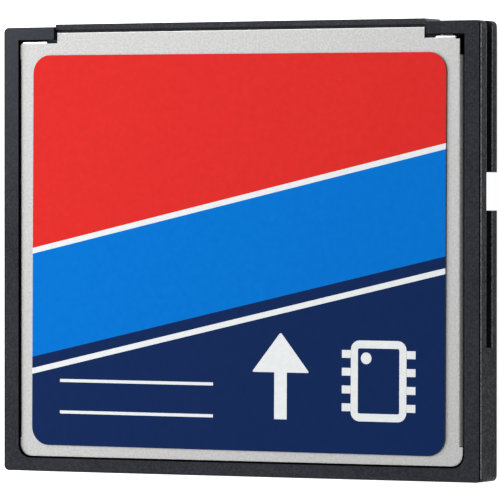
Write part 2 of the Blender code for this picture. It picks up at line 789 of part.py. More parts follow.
def chip_leads(name, side_length, half_span, exit_z, turns_deg):
    """Rows of leads on the sides of a package that the turns name."""
    count = int((side_length - 2 * CORNER_TO_LEAD - LEAD_WIDTH) / LEAD_PITCH) + 1
    bm = bmesh.new()
    for turn_deg in turns_deg:
        turn = Matrix.Rotation(math.radians(turn_deg), 4, "Z")
        for i in range(count):
            lead_into(bm, (i - (count - 1) / 2) * LEAD_PITCH, half_span, exit_z, turn)
    return add_object(name, bm)


def make_chips(package):
    """Flash memory on the label side of the board, and its controller on the back side."""
    flash, exit_z = chip_body("flash_chip", FLASH_LENGTH, FLASH_WIDTH, package)
    leads = chip_leads("flash_lead_tool", FLASH_WIDTH, FLASH_LENGTH / 2, exit_z, (0, 180))
    unite(flash, leads)
    place_on_board(1, 0, CHIP_Y, flash, leads)
    controller, exit_z = chip_body("controller_chip", CONTROLLER_SIZE, CONTROLLER_SIZE, package)
    leads = chip_leads(
        "controller_lead_tool",
        CONTROLLER_SIZE - 2 * LEAD_PITCH,
        CONTROLLER_SIZE / 2,
        exit_z,
        (0, 90, 180, 270),
    )
    unite(controller, leads)
    place_on_board(-1, 0, CHIP_Y, controller, leads)


def stepped_block(name, length, width, step, surface):
    """A base with a smaller lid on it, as a crystal's can or a moulded capacitor has."""
    outline = rounded_rectangle(-length / 2, length / 2, -width / 2, width / 2, [0] * 4)
    bm = prism_bmesh(outline, 0, PART_HEIGHT - step)
    bm.normal_update()
    top = max(bm.faces, key=lambda face: face.calc_center_median().z)
    bmesh.ops.inset_region(bm, faces=[top], thickness=step, depth=0)
    lid = bmesh.ops.extrude_discrete_faces(bm, faces=[top])["faces"][0]
    bmesh.ops.translate(bm, vec=(0, 0, step), verts=lid.verts)
    return add_object(name, bm, surface)


def make_small_parts(can, moulding):
    """The crystal beside the controller, and a tantalum capacitor at the end of the front row."""
    crystal = stepped_block("crystal", CRYSTAL_LENGTH, CRYSTAL_WIDTH, CRYSTAL_LID_STEP, can)
    place_on_board(-1, 0, BOARD_REAR_Y + PASSIVE_MARGIN + CRYSTAL_WIDTH / 2, crystal)
    capacitor = stepped_block(
        "tantalum_capacitor", CAPACITOR_LENGTH, CAPACITOR_WIDTH, CHIP_EDGE_CHAMFER, moulding
    )
    row_end = PASSIVES_IN_ROW / 2 * PASSIVE_PITCH + CAPACITOR_LENGTH / 2
    place_on_board(1, -row_end, TAIL_TOE_Y - PASSIVE_MARGIN - CAPACITOR_WIDTH / 2, capacitor)


def main():
    clear_scene()
    make_frame(material("frame_plastic", (0.032, 0.034, 0.038), 0.5))
    make_covers(material("stainless_steel", (0.62, 0.62, 0.60), 0.42, 1.0))
    make_label(material("label_film", (0.01, 0.02, 0.11), 0.35))
    make_housing(material("connector_resin", (0.018, 0.019, 0.021), 0.45))
    make_contacts(material("gold_plate", (0.83, 0.58, 0.22), 0.25, 1.0))
    make_board(material("board_laminate", (0.01, 0.12, 0.04), 0.4))
    make_chips(material("chip_package", (0.02, 0.02, 0.02), 0.55))
    make_small_parts(
        material("crystal_can", (0.7, 0.68, 0.62), 0.3, 1.0),
        material("capacitor_body", (0.75, 0.35, 0.06), 0.5),
    )


main()
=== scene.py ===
"""Looks of a compact flash card, laid out as a Blender add-on around its packed model.

The card lies label up on a pale floor. X runs across it, +Y points to the connector end and +Z out of the
label. Each operator finishes one piece or group of pieces, and the last one sets up the studio.
"""

import math

import bpy
from bpy.props import FloatProperty, FloatVectorProperty, IntProperty, PointerProperty
from bpy.types import Operator, Panel, PropertyGroup
from mathutils import Matrix, Vector


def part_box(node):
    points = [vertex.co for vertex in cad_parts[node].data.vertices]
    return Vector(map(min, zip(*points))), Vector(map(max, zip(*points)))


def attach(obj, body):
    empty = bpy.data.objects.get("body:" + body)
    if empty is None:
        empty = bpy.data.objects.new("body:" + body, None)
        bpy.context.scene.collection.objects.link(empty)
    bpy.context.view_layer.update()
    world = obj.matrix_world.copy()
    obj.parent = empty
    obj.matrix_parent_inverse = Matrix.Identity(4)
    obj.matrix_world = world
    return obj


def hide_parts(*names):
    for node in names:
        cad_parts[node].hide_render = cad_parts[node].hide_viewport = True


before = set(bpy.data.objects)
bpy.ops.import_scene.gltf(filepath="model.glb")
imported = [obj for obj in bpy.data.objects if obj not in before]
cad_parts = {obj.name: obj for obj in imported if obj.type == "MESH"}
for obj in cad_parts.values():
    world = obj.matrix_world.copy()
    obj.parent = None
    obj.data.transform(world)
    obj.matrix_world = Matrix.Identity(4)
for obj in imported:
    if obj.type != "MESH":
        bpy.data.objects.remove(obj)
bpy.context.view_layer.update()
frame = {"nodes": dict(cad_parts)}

bl_info = {
    "name": "Flash Card Looks",
    "version": (1, 0, 0),
    "blender": (4, 5, 0),
    "location": "3D Viewport > Sidebar > Card",
    "description": "Finishes a memory card's frame, covers, label, connector and board, and its studio",
    "category": "Object",
}

LABEL_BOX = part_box("front_label")
HOUSING_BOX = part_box("connector_housing")
CONTACTS = sorted(name for name in frame["nodes"] if name.startswith("contact_"))

MM = 0.001

# How close two points are to be one, and how near a point lies to be on a face or a line
MERGE = 0.001 * MM
LEVEL = 0.004 * MM
FLAT_ANGLE = math.radians(0.5)
SMOOTH_ANGLE = math.radians(32)

# Where the finishes change, among them the painted highlight, glints and shade on the frame: by a face's
# slope, or by its depth behind the frame's outer faces
SIDE_SLOPE = math.cos(math.radians(12))
EDGE_SLOPE = 0.7
LIP_SLOPE = 0.3
BEND_SLOPE = 0.1
SIDE_EDGE_BAND = 0.2 * MM
SIDE_WALL = 1.3 * MM
REAR_WALL = 1.0 * MM
ARM_WALL = 0.9 * MM
SUNK_DEPTH = 0.03 * MM

# Where the camera stands, the way it looks, and its sensor's width in millimetres
CAMERA_PLACE = (0.188692, 0.004012, 0.374045)
CAMERA_AHEAD = (-0.45187, -0.00984, -0.89203)
CAMERA_ABOVE = (-0.00452, 0.99995, -0.00874)
SENSOR_WIDTH = 36.0

# Outlines of the softboxes
LONG_BOX = (500 * MM, 120 * MM)
END_BOX = (300 * MM, 120 * MM)
SQUARE_BOX = (150 * MM, 150 * MM)


def color_property(name, description, default):
    return FloatVectorProperty(
        name=name, description=description, default=default, size=3, subtype="COLOR", min=0, max=1
    )


def length_property(name, description, default):
    return FloatProperty(
        name=name, description=description, default=default, min=0, unit="LENGTH", precision=6
    )


class FrameLooks(PropertyGroup):
    """Finish of the moulded frame."""

    color: color_property("Colour", "Colour of the frame's plastic", (0.0180, 0.0195, 0.0238))
    # Painted shade: this dark colour goes on the walls sunk inside the frame and on the inner half of the
    # side edges' rounding.
    painted_shade_color: color_property(
        "Painted shade colour", "Colour of the painted shade on the inner walls", (0.0035, 0.0036, 0.0042)
    )
    pit_color: color_property(
        "Pit colour", "Colour in the pits of the coarse sides", (0.006, 0.0062, 0.008)
    )
    # The grain's tips on the sides are painted bright, standing in for glints of light on the coarse
    # erosion.
    glint_tip_color: color_property(
        "Glint tip colour", "Colour painted on the grain's tips on the sides as glints", (0.056, 0.057, 0.068)
    )
    # Painted highlight: bright spots along the frame's side edges and groove lips.
    painted_highlight_color: color_property(
        "Highlight colour", "Colour of the painted highlight spots on the edges", (0.21, 0.21, 0.222)
    )
    # Painted sheen: the frame's top left corner fades lighter, standing in for light from the upper left.
    painted_sheen_color: color_property(
        "Painted sheen colour", "Colour painted on the top left corner as sheen", (0.036, 0.040, 0.048)
    )
    painted_sheen_reach: length_property("Painted sheen reach", "How far the painted sheen on the corner fades out", 17 * MM)
    lip_round: length_property("Lip round", "Radius on the lips of the guide grooves", 0.08 * MM)
    right_groove: length_property("Right groove", "Width of the right guide groove", 0.99 * MM)
    left_groove: length_property("Left groove", "Width of the left guide groove", 1.6 * MM)
    edge_round: length_property("Edge round", "Radius on the frame's small edges", 0.02 * MM)
    grain: length_property("Grain", "Width of one pit of the eroded grain", 0.16 * MM)


class CoverLooks(PropertyGroup):
    """Finish of the two steel covers."""

    color: color_property("Colour", "Colour of the stainless sheet", (0.402, 0.402, 0.400))
    # The die roll's colour is partly real burnish and partly a painted highlight.
    painted_highlight_color: color_property("Highlight colour", "Colour of the die roll, real burnish brightened further as a painted highlight", (0.80, 0.80, 0.79))
    edge_round: length_property("Edge round", "Radius on the cut edges", 0.03 * MM)
    roll_width: length_property("Roll width", "Width of the die roll at the ears' ends", 0.12 * MM)
    roll_depth: length_property("Roll depth", "Drop of the die roll", 0.035 * MM)
    bend: length_property("Bend", "Outer radius of a flange's bend", 0.37 * MM)
    tight_bend: length_property("Tight bend", "Outer radius of the bend that is pressed tighter", 0.1 * MM)
    grain: length_property("Grain", "Width of one pit of the blasted surface", 0.17 * MM)
    roughness: FloatProperty(
        name="Roughness", description="Roughness of the blasted surface", default=0.5, min=0, max=1
    )
    bend_roughness: FloatProperty(
        name="Bend roughness", description="Roughness of the pressed bends", default=0.37, min=0, max=1
    )


class LabelLooks(PropertyGroup):
    """Print and shape of the label."""

    corner_radius: length_property("Corner radius", "Radius of the label's corners", 1.5 * MM)
    margin: length_property("Margin", "Width of the unprinted film along the label's edge", 0.06 * MM)
    skew: FloatProperty(
        name="Skew",
        description="Turn by which the label was stuck on askew, clockwise",
        default=math.radians(0.27),
        unit="ROTATION",
    )
    slant: FloatProperty(
        name="Slant",
        description="Rise of the printed fields towards the right",
        default=math.radians(13),
        unit="ROTATION",
    )
    red_share: FloatProperty(
        name="Red field",
        description="Share of the height above the upper boundary",
        default=0.36,
        min=0,
        max=1,
    )
    blue_width: length_property("Blue width", "Width of the blue field across its slant", 8.2 * MM)
    stripe_width: length_property("Stripe width", "Width of the white stripes", 0.45 * MM)
    stripe_gap: length_property("Stripe gap", "Navy between the blue field and its stripe", 0.9 * MM)
    sign_height: length_property("Sign height", "Height of the chip sign", 6.4 * MM)
    sign_line: length_property("Sign line", "Width of the lines that the signs are drawn with", 0.62 * MM)
    sign_level: length_property("Sign level", "Height of the signs' foot above the label's edge", 2.6 * MM)
    ink_thickness: length_property("Ink thickness", "Thickness of the white print", 0.008 * MM)
    edge_round: length_property("Edge round", "Radius on the film's upper edge", 0.02 * MM)
    red: color_property("Red", "Red ink", (0.64, 0.0242, 0.0215))
    blue: color_property("Blue", "Blue ink", (0.0005, 0.152, 0.555))
    navy: color_property("Navy", "Navy ink", (0.0054, 0.0196, 0.0870))
    white: color_property("White", "Unprinted film", (0.72, 0.74, 0.75))
    film_edge: color_property("Film edge", "Cut edge of the film", (0.42, 0.42, 0.42))


class ConnectorLooks(PropertyGroup):
    """Finish and fine form of the socket connector."""

    color: color_property("Colour", "Colour of the connector's resin", (0.0225, 0.0235, 0.0265))
    edge_round: length_property("Edge round", "Radius on the connector's edges", 0.03 * MM)
    pitch: length_property("Pitch", "Distance between sockets, along a row and between rows", 1.27 * MM)
    columns: IntProperty(name="Columns", description="Sockets in one row", default=25, min=1)
    sides: IntProperty(name="Sides", description="Sides of one round socket", default=24, min=8)
    bore: length_property("Bore", "Diameter of a socket's bore", 0.65 * MM)
    bore_depth: length_property("Bore depth", "Depth of a socket's bore", 0.5 * MM)
    lead_in: length_property("Lead-in", "Diameter of a socket's flared mouth", 0.96 * MM)
    lead_in_depth: length_property("Lead-in depth", "Depth of a socket's flared mouth", 0.2 * MM)
    contact_color: color_property("Contact colour", "Colour of the gold plating", (0.86, 0.60, 0.24))


class BoardLooks(PropertyGroup):
    """Finish of the circuit board and of what is soldered to it."""

    mask_color: color_property("Solder mask", "Colour of the solder mask", (0.006, 0.085, 0.028))
    package_color: color_property("Package", "Colour of the moulded chips", (0.018, 0.018, 0.019))
    tin_color: color_property("Tin", "Colour of tinned leads and pads", (0.70, 0.70, 0.69))
    lead_reach: length_property("Lead reach", "How far a chip's leads stand out of its body", 0.85 * MM)
    capacitor_color: color_property("Capacitor", "Colour of the moulded capacitor", (0.72, 0.33, 0.05))


class StudioLooks(PropertyGroup):
    """Floor, lights and camera."""

    floor_color: color_property("Floor", "Colour of the floor", (0.93, 0.93, 0.93))
    floor_drop: length_property("Floor drop", "Distance of the floor below the card", 0.02 * MM)
    floor_glow: FloatProperty(
        name="Floor glow", description="Light that the floor sheet lets through", default=0.87, min=0
    )
    room_light: FloatProperty(
        name="Room light", description="Strength of the even light", default=0.2, min=0
    )
    high_light: FloatProperty(
        name="High light", description="Power of the long softbox high on the left", default=0.23, min=0
    )
    low_light: FloatProperty(
        name="Low light", description="Power of the long softbox low on the left", default=1.45, min=0
    )
    corner_light: FloatProperty(
        name="Corner light",
        description="Power of the softbox beyond the top left corner",
        default=0.39,
        min=0,
    )
    end_light: FloatProperty(
        name="End light",
        description="Power of the low softbox beyond the connector end",
        default=0.1,
        min=0,
    )
    light_distance: length_property("Light distance", "Distance of the softboxes from the card", 300 * MM)
    focal_length: FloatProperty(
        name="Focal length",
        description="Focal length of the camera",
        default=374.19,
        min=1,
        unit="CAMERA",
    )


LOOKS = {
    "card_frame": FrameLooks,
    "card_cover": CoverLooks,
    "card_label": LabelLooks,
    "card_connector": ConnectorLooks,
    "card_board": BoardLooks,
    "card_studio": StudioLooks,
}


# Selecting and modelling


def deselect_all():
    if bpy.context.object and bpy.context.object.mode != "OBJECT":
        bpy.ops.object.mode_set(mode="OBJECT")
    bpy.ops.object.select_all(action="DESELECT")


def activate(piece):
    deselect_all()
    piece.select_set(True)
    bpy.context.view_layer.objects.active = piece


def select_where(piece, test, kind="FACE"):
    """Selects the faces, edges or vertices whose points all pass a test, and stays in edit mode."""
    activate(piece)
    bpy.ops.object.mode_set(mode="EDIT")
    bpy.ops.mesh.select_mode(type=kind)
    bpy.ops.mesh.select_all(action="DESELECT")
    bpy.ops.object.mode_set(mode="OBJECT")
    mesh = piece.data
    items = {"FACE": mesh.polygons, "EDGE": mesh.edges, "VERT": mesh.vertices}[kind]
    for item in items:
        if kind == "VERT":
            points = [item.co]
        else:
            points = [mesh.vertices[i].co for i in item.vertices]
        item.select = all(test(point) for point in points)
    bpy.ops.object.mode_set(mode="EDIT")


def leave_edit():
    bpy.ops.object.mode_set(mode="OBJECT")


def settle(piece):
    """Puts a piece's place into its mesh, so that its object sits at the origin."""
    activate(piece)
    bpy.ops.object.transform_apply(location=True, rotation=True, scale=True)


def smooth(piece, angle=SMOOTH_ANGLE):
    """Shades rounded edges smooth and keeps the large faces flat."""
    activate(piece)
    bpy.ops.object.shade_smooth_by_angle(angle=angle)
    step = piece.modifiers.new("flat_faces", "WEIGHTED_NORMAL")
    step.weight = 100
    step.keep_sharp = True
    bpy.ops.object.modifier_apply(modifier=step.name)


def round_edges(piece, radius, segments=2, angle=math.radians(40)):
    """Rounds all the sharp edges of a piece."""
    activate(piece)
    step = piece.modifiers.new("edge_round", "BEVEL")
    step.width = radius
    step.segments = segments
    step.limit_method = "ANGLE"
    step.angle_limit = angle
    step.use_clamp_overlap = True
    bpy.ops.object.modifier_apply(modifier=step.name)


def add_cube(name, low, high):
    deselect_all()
    low, high = Vector(low), Vector(high)
    bpy.ops.mesh.primitive_cube_add(size=1, location=(low + high) / 2, scale=high - low)
    made = bpy.context.object
    made.name = name
    settle(made)
    return made


def combine(piece, tool, operation):
    """Joins a tool to a piece or cuts it out, and deletes the tool."""
    activate(piece)
    step = piece.modifiers.new("tool", "BOOLEAN")
    step.operation = operation
    step.object = tool
    step.solver = "EXACT"
    bpy.ops.object.modifier_apply(modifier=step.name)
    bpy.data.objects.remove(tool, do_unlink=True)


def copy_node(node_name, piece_name):
    """A copy of a CAD node with its loose triangles merged into clean faces."""
    node = frame["nodes"][node_name]
    piece = bpy.data.objects.new(piece_name, node.data.copy())
    bpy.context.scene.collection.objects.link(piece)
    activate(piece)
    bpy.ops.mesh.customdata_custom_splitnormals_clear()
    bpy.ops.object.mode_set(mode="EDIT")
    bpy.ops.mesh.select_all(action="SELECT")
    bpy.ops.mesh.remove_doubles(threshold=MERGE)
    bpy.ops.mesh.dissolve_limited(angle_limit=FLAT_ANGLE)
    leave_edit()
    return piece


def add_outline(name, sides, center, width, height):
    """A flat polygon with a vertex towards +Y, or an upright rectangle where it has four sides."""
    deselect_all()
    turn = math.pi / 4 if sides == 4 else 0.0
    bpy.ops.mesh.primitive_circle_add(
        vertices=sides, radius=0.5, fill_type="NGON", location=center, rotation=(0, 0, turn)
    )
    made = bpy.context.object
    made.name = name
    settle(made)
    fit = [side / max(size, MERGE) for side, size in zip((width, height), made.dimensions)]
    bpy.ops.object.mode_set(mode="EDIT")
    bpy.ops.mesh.select_all(action="SELECT")
    bpy.ops.transform.resize(value=(*fit, 1), center_override=center)
    leave_edit()
    return made


def round_corners(piece, radius):
    """Rounds the corners of a flat outline."""
    select_where(piece, lambda point: True)
    bpy.ops.mesh.bevel(offset=radius, segments=5, affect="VERTICES")
    leave_edit()


def thicken(piece, height):
    """Raises a flat outline into a closed solid."""
    select_where(piece, lambda point: True)
    bpy.ops.mesh.extrude_region_move(TRANSFORM_OT_translate={"value": (0, 0, height)})
    bpy.ops.mesh.select_all(action="SELECT")
    bpy.ops.mesh.normals_make_consistent(inside=False)
    leave_edit()


def repeat(piece, count, offset):
    """Repeats a piece in a row."""
    activate(piece)
    step = piece.modifiers.new("row", "ARRAY")
    step.count = count
    step.use_relative_offset = False
    step.use_constant_offset = True
    step.constant_offset_displace = offset
    bpy.ops.object.modifier_apply(modifier=step.name)


def join(pieces):
    deselect_all()
    for piece in pieces:
        piece.select_set(True)
    bpy.context.view_layer.objects.active = pieces[0]
    bpy.ops.object.join()
    return pieces[0]


def dress(piece, *materials):
    piece.data.materials.clear()
    for material in materials:
        piece.data.materials.append(material)


def hand_over(piece, slot, *nodes):
    """Makes a finished piece ride on the card in place of its CAD nodes."""
    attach(piece, "root")
    if nodes:
        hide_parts(*nodes)


# Materials


class Surface:
    """A Principled material whose patterns read Object coordinates."""

    def __init__(self, name, color, roughness, metallic=0.0):
        self.material = bpy.data.materials.new(name)
        self.material.use_nodes = True
        self.tree = self.material.node_tree
        self.shader = self.tree.nodes["Principled BSDF"]
        self.shader.inputs["Base Color"].default_value = (*color, 1.0)
        self.shader.inputs["Roughness"].default_value = roughness
        self.shader.inputs["Metallic"].default_value = metallic
        self.place = self.node("ShaderNodeTexCoord").outputs["Object"]

    def node(self, kind, **values):
        made = self.tree.nodes.new(kind)
        for key, value in values.items():
            setattr(made, key, value)
        return made

    def link(self, source, target):
        self.tree.links.new(source, target)

    def stretched(self, scale):
        """Object coordinates scaled by axis, for patterns that run one way."""
        mapping = self.node("ShaderNodeMapping")
        mapping.inputs["Scale"].default_value = scale
        self.link(self.place, mapping.inputs["Vector"])
        return mapping.outputs["Vector"]

    def noise(self, size, detail=2.0, roughness=0.5, place=None):
        """Noise whose spots are about as wide as size, in metres."""
        made = self.node("ShaderNodeTexNoise")
        made.inputs["Scale"].default_value = 1 / size
        made.inputs["Detail"].default_value = detail
        made.inputs["Roughness"].default_value = roughness
        self.link(place or self.place, made.inputs["Vector"])
        return made.outputs["Fac"]

    def spread(self, value, low, high, from_low=0.3, from_high=0.7):
        """Stretches a pattern's value over a range."""
        made = self.node("ShaderNodeMapRange")
        for key, number in zip(
            ("From Min", "From Max", "To Min", "To Max"), (from_low, from_high, low, high)
        ):
            made.inputs[key].default_value = number
        self.link(value, made.inputs["Value"])
        return made.outputs["Result"]

    def mix(self, factor, first, second, blend="MIX"):
        """Mixes two colours, or links, by a factor."""
        made = self.node("ShaderNodeMix", data_type="RGBA", blend_type=blend)
        for key, value in zip((0, 6, 7), (factor, first, second)):
            if isinstance(value, (float, int)):
                made.inputs[key].default_value = value
            elif isinstance(value, (tuple, list)):
                made.inputs[key].default_value = (*value[:3], 1.0)
            else:
                self.link(value, made.inputs[key])
        return made.outputs[2]

    def math(self, operation, first, second=0.0):
        made = self.node("ShaderNodeMath", operation=operation)
        for socket, value in zip(made.inputs, (first, second)):
            if isinstance(value, (float, int)):
                socket.default_value = value
            else:
                self.link(value, socket)
        return made.outputs[0]

    def nearness(self, center, reach):
        """One at a point, fading to nothing at its reach."""
        made = self.node("ShaderNodeVectorMath", operation="DISTANCE")
        made.inputs[1].default_value = center
        self.link(self.place, made.inputs[0])
        return self.spread(made.outputs["Value"], 1.0, 0.0, 0.0, reach)

    def color(self, source):
        self.link(source, self.shader.inputs["Base Color"])

    def roughness(self, source):
        self.link(source, self.shader.inputs["Roughness"])

    def bump(self, *layers):
        """Stacks bumps given as pairs of a pattern and its height in metres."""
        normal = None
        for pattern, height in layers:
            made = self.node("ShaderNodeBump")
            made.inputs["Strength"].default_value = 1.0
            made.inputs["Distance"].default_value = height
            self.link(pattern, made.inputs["Height"])
            if normal:
                self.link(normal, made.inputs["Normal"])
            normal = made.outputs["Normal"]
        self.link(normal, self.shader.inputs["Normal"])


def shaded(color, factor):
    return tuple(min(1.0, channel * factor) for channel in color)


def moulded_plastic(name, color, grain, roughness, depth, gloss, painted_sheen=None):
    """Plastic with the fine eroded grain of its mould, a slow change of tone and at most one place painted
    lighter as a sheen of light.
    """
    surface = Surface(name, color, roughness)
    pits = surface.noise(grain, detail=3.0, roughness=0.6)
    tone = surface.spread(surface.noise(grain * 28), 0.0, 1.0)
    broad = surface.mix(tone, shaded(color, 0.9), shaded(color, 1.1))
    if painted_sheen:
        painted_sheen_color, painted_sheen_center, painted_sheen_reach = painted_sheen
        broad = surface.mix(surface.nearness(painted_sheen_center, painted_sheen_reach), broad, painted_sheen_color)
    speckle = surface.spread(pits, 0.0, 0.55, 0.4, 0.7)
    surface.color(surface.mix(speckle, broad, shaded(color, 2.8)))
    surface.roughness(surface.spread(pits, roughness - 0.07, roughness + 0.07))
    surface.bump((pits, depth))
    surface.shader.inputs["Specular IOR Level"].default_value = gloss
    return surface.material


def coarse_grain(name, looks):
    """Side of the frame, where the mould's erosion is coarser and its tips are painted bright as glints of
    light.
    """
    surface = Surface(name, looks.pit_color, 0.5)
    worms = surface.noise(looks.grain * 1.4, detail=2.0, roughness=0.6)
    fine = surface.noise(looks.grain * 0.6, detail=2.0)
    ridges = surface.spread(worms, 0.0, 1.0, 0.42, 0.64)
    tone = surface.mix(ridges, tuple(looks.pit_color), tuple(looks.glint_tip_color))
    surface.color(surface.mix(surface.spread(fine, 0.0, 0.4), tone, tuple(looks.pit_color)))
    surface.roughness(surface.spread(worms, 0.42, 0.6))
    surface.bump((worms, 0.02 * MM), (fine, 0.006 * MM))
    surface.shader.inputs["Specular IOR Level"].default_value = 0.04
    return surface.material


def painted_highlight_plastic(name, looks):
    """Edge of the frame, with bright spots painted on its grain as a highlight."""
    surface = Surface(name, looks.color, 0.4)
    tips = surface.noise(looks.grain * 0.9, detail=2.0, roughness=0.7)
    highlight_spots = surface.spread(tips, 0.1, 1.0, 0.38, 0.6)
    surface.color(surface.mix(highlight_spots, tuple(looks.color), tuple(looks.painted_highlight_color)))
    surface.roughness(surface.spread(tips, 0.5, 0.35))
    surface.bump((tips, 0.01 * MM))
    surface.shader.inputs["Specular IOR Level"].default_value = 0.2
    return surface.material


def blasted_steel(name, looks, roughness):
    """Stainless sheet with a fine matt surface, a little uneven in brightness."""
    surface = Surface(name, looks.color, roughness, 1.0)
    pits = surface.noise(looks.grain, detail=3.0, roughness=0.65)
    drawn = surface.noise(looks.grain, place=surface.stretched((1.0, 0.12, 1.0)))
    speckle = surface.mix(
        surface.spread(pits, 0.0, 1.0), shaded(looks.color, 0.8), shaded(looks.color, 1.17)
    )
    surface.color(surface.mix(surface.spread(drawn, 0.0, 0.25), speckle, shaded(looks.color, 0.84)))
    surface.roughness(surface.spread(pits, roughness - 0.05, roughness + 0.07))
    surface.bump((pits, 0.006 * MM))
    return surface.material


def printed_film(name, color, roughness=0.42):
    """Ink on film under a thin clear laminate, with a faint mottle and orange peel."""
    surface = Surface(name, color, roughness)
    mottle = surface.noise(0.5 * MM, detail=4.0, roughness=0.6)
    dots = surface.noise(0.09 * MM, detail=1.0)
    broad = surface.mix(surface.spread(mottle, 0.0, 1.0), shaded(color, 0.95), shaded(color, 1.04))
    surface.color(surface.mix(surface.spread(dots, 0.0, 0.25), broad, shaded(color, 0.86)))
    surface.roughness(surface.spread(mottle, roughness - 0.04, roughness + 0.04))
    surface.bump((mottle, 0.004 * MM), (dots, 0.0008 * MM))
    surface.shader.inputs["Specular IOR Level"].default_value = 0.02
    return surface.material


def plated_metal(name, color, grain, roughness):
    """Thin plating over a rolled strip, with fine lines along the strip."""
    surface = Surface(name, color, roughness, 1.0)
    lines = surface.noise(grain, place=surface.stretched((1.0, 0.08, 1.0)))
    cloud = surface.noise(grain * 9)
    surface.color(surface.mix(surface.spread(cloud, 0.0, 1.0), shaded(color, 0.88), shaded(color, 1.08)))
    surface.roughness(surface.spread(lines, roughness - 0.06, roughness + 0.1))
    surface.bump((lines, 0.002 * MM))
    return surface.material


def solder_mask(name, looks):
    """Green mask over copper tracks, with bare tinned pads under the contact tails."""
    surface = Surface(name, looks.mask_color, 0.32)
    tracks = surface.node("ShaderNodeTexBrick")
    tracks.offset = 0.5
    tracks.inputs["Scale"].default_value = 1 / (3.2 * MM)
    tracks.inputs["Mortar Size"].default_value = 0.04
    tracks.inputs["Color1"].default_value = (0, 0, 0, 1)
    tracks.inputs["Color2"].default_value = (0, 0, 0, 1)
    tracks.inputs["Mortar"].default_value = (1, 1, 1, 1)
    surface.link(surface.place, tracks.inputs["Vector"])
    weave = surface.noise(0.25 * MM, detail=2.0)
    dark, light = shaded(looks.mask_color, 0.85), shaded(looks.mask_color, 1.15)
    base = surface.mix(surface.spread(weave, 0.0, 1.0), dark, light)
    surface.color(surface.mix(tracks.outputs["Color"], base, shaded(looks.mask_color, 1.9)))
    surface.roughness(surface.spread(weave, 0.26, 0.38))
    surface.bump((tracks.outputs["Color"], 0.02 * MM), (weave, 0.003 * MM))
    return surface.material


def moulded_package(name, looks, half_length, middle_y, half_width):
    """Epoxy package whose leads, outside its body's outline, are tinned metal."""
    surface = Surface(name, looks.package_color, 0.6)
    split = surface.node("ShaderNodeSeparateXYZ")
    surface.link(surface.place, split.inputs[0])
    along = surface.math("ABSOLUTE", split.outputs["X"])
    across = surface.math("ABSOLUTE", surface.math("SUBTRACT", split.outputs["Y"], middle_y))
    outside = surface.math(
        "MAXIMUM",
        surface.math("GREATER_THAN", along, half_length),
        surface.math("GREATER_THAN", across, half_width),
    )
    grit = surface.noise(0.12 * MM, detail=3.0)
    dark, light = shaded(looks.package_color, 0.8), shaded(looks.package_color, 1.4)
    body = surface.mix(surface.spread(grit, 0.0, 1.0), dark, light)
    surface.color(surface.mix(outside, body, tuple(looks.tin_color)))
    surface.link(outside, surface.shader.inputs["Metallic"])
    surface.roughness(surface.spread(grit, 0.5, 0.68))
    surface.bump((grit, 0.004 * MM))
    return surface.material


# Pieces


class CARD_OT_finish_frame(Operator):
    """Softens the moulded frame's edges and gives it its eroded grain"""

    bl_idname = "card.finish_frame"
    bl_label = "Finish the frame"

    def execute(self, context):
        looks = context.scene.card_frame
        piece = copy_node("frame", "moulded_frame")
        low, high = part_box("frame")
        middle = HOUSING_BOX[0].lerp(HOUSING_BOX[1], 0.5).z
        for side_x, width in ((high.x, looks.right_groove), (low.x, looks.left_groove)):
            select_where(
                piece,
                lambda p: abs(p.x - side_x) < LEVEL and abs(abs(p.z - middle) - width / 2) < LEVEL,
                "EDGE",
            )
            bpy.ops.mesh.bevel(offset=looks.lip_round, segments=2, affect="EDGES")
            leave_edit()
        round_edges(piece, looks.edge_round)
        smooth(piece)
        # Painted sheen, lighter towards the top left corner of the frame.
        painted_sheen = (tuple(looks.painted_sheen_color), (low.x, high.y, high.z), looks.painted_sheen_reach)
        grain = looks.grain
        dress(
            piece,
            moulded_plastic("grained_frame_plastic", looks.color, grain, 0.42, 0.014 * MM, 0.04, painted_sheen),
            coarse_grain("coarse_frame_side", looks),
            painted_highlight_plastic("painted_highlight_frame_edge", looks),
            moulded_plastic("painted_shade_frame_recess", looks.painted_shade_color, grain, 0.5, 0.002 * MM, 0.02),
        )
        for face in piece.data.polygons:
            face.material_index = self.finish_of(face, low, high, middle)
        hand_over(piece, "frame_plastic", "frame")
        return {"FINISHED"}

    def finish_of(self, face, low, high, middle):
        """Which finish a face has: 0 grained, 1 coarse side with painted glints, 2 painted highlight on an
        edge or lip, 3 painted shade in a recess or on the inner half of an edge's rounding.
        """
        center = face.center
        slope_x, slope_y, slope_z = (abs(slope) for slope in face.normal)
        if abs(center.x) > high.x - SIDE_EDGE_BAND:
            # Side faces: coarse grain whose tips are painted bright as glints.
            if slope_x > SIDE_SLOPE or (slope_x > EDGE_SLOPE and slope_z < 0.1):
                return 1
            # Painted highlight on the outer half of the side edges' rounding and on the groove lips.
            lip = abs(center.z - middle) < (high.z - middle) / 2
            if slope_x > (LIP_SLOPE if lip else EDGE_SLOPE) and slope_y < LIP_SLOPE:
                return 2
            # Painted shade on the inner half of the side edges' rounding.
            return 3 if slope_x > LIP_SLOPE and slope_z > EDGE_SLOPE else 0
        # Painted shade on the faces sunk inside the frame's walls.
        inside = abs(center.x) < high.x - SIDE_WALL and low.y + REAR_WALL < center.y < high.y - ARM_WALL
        sunk = abs(center.z - middle) < high.z - middle - SUNK_DEPTH
        return 3 if inside and sunk else 0


